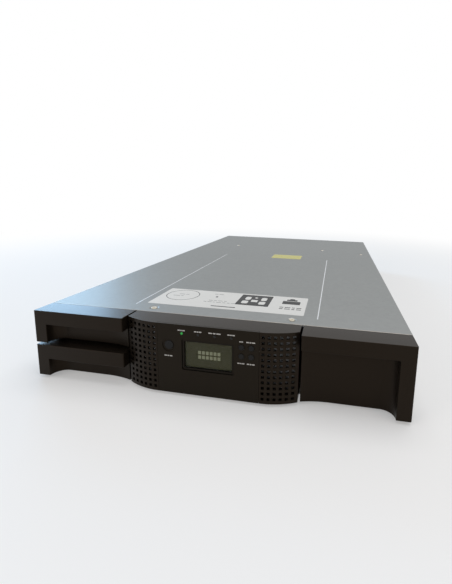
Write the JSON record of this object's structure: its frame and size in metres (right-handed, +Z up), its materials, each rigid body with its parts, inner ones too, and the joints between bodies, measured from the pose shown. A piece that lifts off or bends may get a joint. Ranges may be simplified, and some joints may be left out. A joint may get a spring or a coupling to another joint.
{
  "type": "data tape library",
  "caption": "Rack-mount tape autoloader: sheet-metal case, black bezel with curved grilles and display, pull-out magazines, mail slot, cartridge robot, tape drive and power supply.",
  "frame": {"origin": "centre of the case's underside", "axes": "+Z up, -Y towards the front bezel, +X to the right seen from the front"},
  "size_m": [0.447, 0.7902, 0.087],
  "materials": {
    "cover_steel": "satin",
    "case_steel": "satin",
    "black_moulding": "satin",
    "fascia_black": "satin",
    "display_clear": "clear",
    "display_green": "gloss",
    "green_light": "gloss",
    "dark_light": "gloss",
    "key_black": "matt",
    "board_green": "satin",
    "magazine_grey": "satin",
    "cartridge_blue": "satin",
    "zinc_steel": "bright zinc",
    "robot_casting": "cast",
    "ground_steel": "ground",
    "bearing_bronze": "sintered",
    "motor_black": "satin",
    "gear_white": "satin",
    "drive_black": "satin",
    "fan_black": "satin",
    "screw_blue": "satin",
    "port_steel": "tinned"
  },
  "bodies": {
    "chassis": {"base_tray": "case_steel", "left_side_panel": "case_steel", "right_side_panel": "case_steel", "top_cover": "cover_steel", "case_screws": "zinc_steel", "rear_frame": "case_steel", "left_magazine_rails": "magazine_grey", "right_magazine_rails": "magazine_grey", "front_crossmember": "case_steel", "center_bezel": "black_moulding", "control_fascia": "fascia_black", "display_frame": "fascia_black", "display_window": "display_clear", "display_panel": "display_green", "control_board": "board_green", "ready_light": "green_light", "status_lights": "dark_light", "lock_solenoids": "motor_black", "guide_shaft": "ground_steel", "gear_rack": "gear_white", "controller_card": "board_green", "controller_ports": "port_steel"},
    "power_button": {"power_button": "key_black"},
    "up_key": {"up_key": "key_black"},
    "down_key": {"down_key": "key_black"},
    "cancel_key": {"cancel_key": "key_black"},
    "select_key": {"select_key": "key_black"},
    "left_magazine": {"left_magazine_base": "magazine_grey", "left_magazine_dividers": "magazine_grey", "left_cartridges": "cartridge_blue", "left_handle": "black_moulding"},
    "mail_slot": {"mail_slot_tray": "magazine_grey", "mail_slot_handle": "black_moulding"},
    "right_magazine": {"right_magazine_base": "magazine_grey", "right_magazine_dividers": "magazine_grey", "right_cartridges": "cartridge_blue", "right_handle": "black_moulding"},
    "left_lock": {"left_lock_pawl": "zinc_steel"},
    "right_lock": {"right_lock_pawl": "zinc_steel"},
    "robot": {"robot_base": "robot_casting", "shaft_bushes": "bearing_bronze", "robot_motors": "motor_black"},
    "travel_pinion": {"travel_pinion": "gear_white"},
    "turn_pinion": {"turn_pinion": "gear_white"},
    "shuttle": {"turntable": "gear_white", "lift_posts": "case_steel", "lift_motor": "motor_black"},
    "lift_screw": {"lift_screw": "ground_steel"},
    "lift": {"lift_platform": "magazine_grey", "barcode_reader": "motor_black"},
    "picker": {"cartridge_picker": "case_steel"},
    "drive_unit": {"drive_sled": "case_steel", "tape_drive": "drive_black", "drive_fan_frame": "fan_black", "drive_thumbscrews": "screw_blue"},
    "drive_fan": {"drive_fan_rotor": "fan_black"},
    "power_unit": {"power_supply": "case_steel", "power_inlet": "fan_black", "psu_thumbscrews": "screw_blue"},
    "psu_fan": {"psu_fan_rotor": "fan_black"}
  },
  "joints": [
    {"name": "power_button_press", "type": "slide", "parent": "chassis", "child": "power_button", "axis": [0, 1, 0], "range_m": [0, 0.0008], "stiffness_N_per_m": 400, "springref_m": -0.001},
    {"name": "up_key_press", "type": "slide", "parent": "chassis", "child": "up_key", "axis": [0, 1, 0], "range_m": [0, 0.0008], "stiffness_N_per_m": 400, "springref_m": -0.001},
    {"name": "down_key_press", "type": "slide", "parent": "chassis", "child": "down_key", "axis": [0, 1, 0], "range_m": [0, 0.0008], "stiffness_N_per_m": 400, "springref_m": -0.001},
    {"name": "cancel_key_press", "type": "slide", "parent": "chassis", "child": "cancel_key", "axis": [0, 1, 0], "range_m": [0, 0.0008], "stiffness_N_per_m": 400, "springref_m": -0.001},
    {"name": "select_key_press", "type": "slide", "parent": "chassis", "child": "select_key", "axis": [0, 1, 0], "range_m": [0, 0.0008], "stiffness_N_per_m": 400, "springref_m": -0.001},
    {"name": "left_magazine_slide", "type": "slide", "parent": "chassis", "child": "left_magazine", "axis": [0, -1, 0], "range_m": [0, 0.45]},
    {"name": "mail_slot_slide", "type": "slide", "parent": "left_magazine", "child": "mail_slot", "axis": [0, -1, 0], "range_m": [0, 0.115]},
    {"name": "right_magazine_slide", "type": "slide", "parent": "chassis", "child": "right_magazine", "axis": [0, -1, 0], "range_m": [0, 0.45]},
    {"name": "left_lock_tilt", "type": "hinge", "parent": "chassis", "child": "left_lock", "pos_m": [-0.16, -0.3279, 0.0038], "axis": [1, 0, 0], "range_deg": [0, 7]},
    {"name": "right_lock_tilt", "type": "hinge", "parent": "chassis", "child": "right_lock", "pos_m": [0.16, -0.3279, 0.0038], "axis": [1, 0, 0], "range_deg": [0, 7]},
    {"name": "robot_travel", "type": "slide", "parent": "chassis", "child": "robot", "axis": [0, 1, 0], "range_m": [-0.1635, 0.1635]},
    {"name": "travel_pinion_turn", "type": "hinge", "parent": "robot", "child": "travel_pinion", "pos_m": [0.08875, -0.0659, 0.004], "axis": [0, 0, 1], "range_deg": [-945, 945]},
    {"name": "shuttle_turn", "type": "hinge", "parent": "robot", "child": "shuttle", "pos_m": [0, -0.1339, 0.008], "axis": [0, 0, 1], "range_deg": [-90, 90]},
    {"name": "turn_pinion_turn", "type": "hinge", "parent": "robot", "child": "turn_pinion", "pos_m": [-0.06682, -0.06708, 0.008], "axis": [0, 0, 1], "range_deg": [-430, 430]},
    {"name": "platform_lift", "type": "slide", "parent": "shuttle", "child": "lift", "axis": [0, 0, 1], "range_m": [0, 0.049]},
    {"name": "lift_screw_turn", "type": "hinge", "parent": "shuttle", "child": "lift_screw", "pos_m": [-0.0595, -0.1139, 0.04], "axis": [0, 0, 1], "range_deg": [-10, 2250]},
    {"name": "picker_reach", "type": "slide", "parent": "lift", "child": "picker", "axis": [0, 1, 0], "range_m": [0, 0.05]},
    {"name": "drive_sled_slide", "type": "slide", "parent": "chassis", "child": "drive_unit", "axis": [0, 1, 0], "range_m": [0, 0.24]},
    {"name": "drive_fan_spin", "type": "hinge", "parent": "drive_unit", "child": "drive_fan", "pos_m": [0.045, 0.3696, 0.025], "axis": [0, 1, 0], "continuous": true},
    {"name": "power_supply_slide", "type": "slide", "parent": "chassis", "child": "power_unit", "axis": [0, 1, 0], "range_m": [0, 0.195]},
    {"name": "psu_fan_spin", "type": "hinge", "parent": "power_unit", "child": "psu_fan", "pos_m": [0.12425, 0.3696, 0.0233], "axis": [0, 1, 0], "continuous": true}
  ],
  "couplings": [
    {"joint": "travel_pinion_turn", "follows": "robot_travel", "rad_per_m": -100},
    {"joint": "turn_pinion_turn", "follows": "shuttle_turn", "ratio": -4.7273},
    {"joint": "lift_screw_turn", "follows": "platform_lift", "rad_per_m": 785.4}
  ]
}
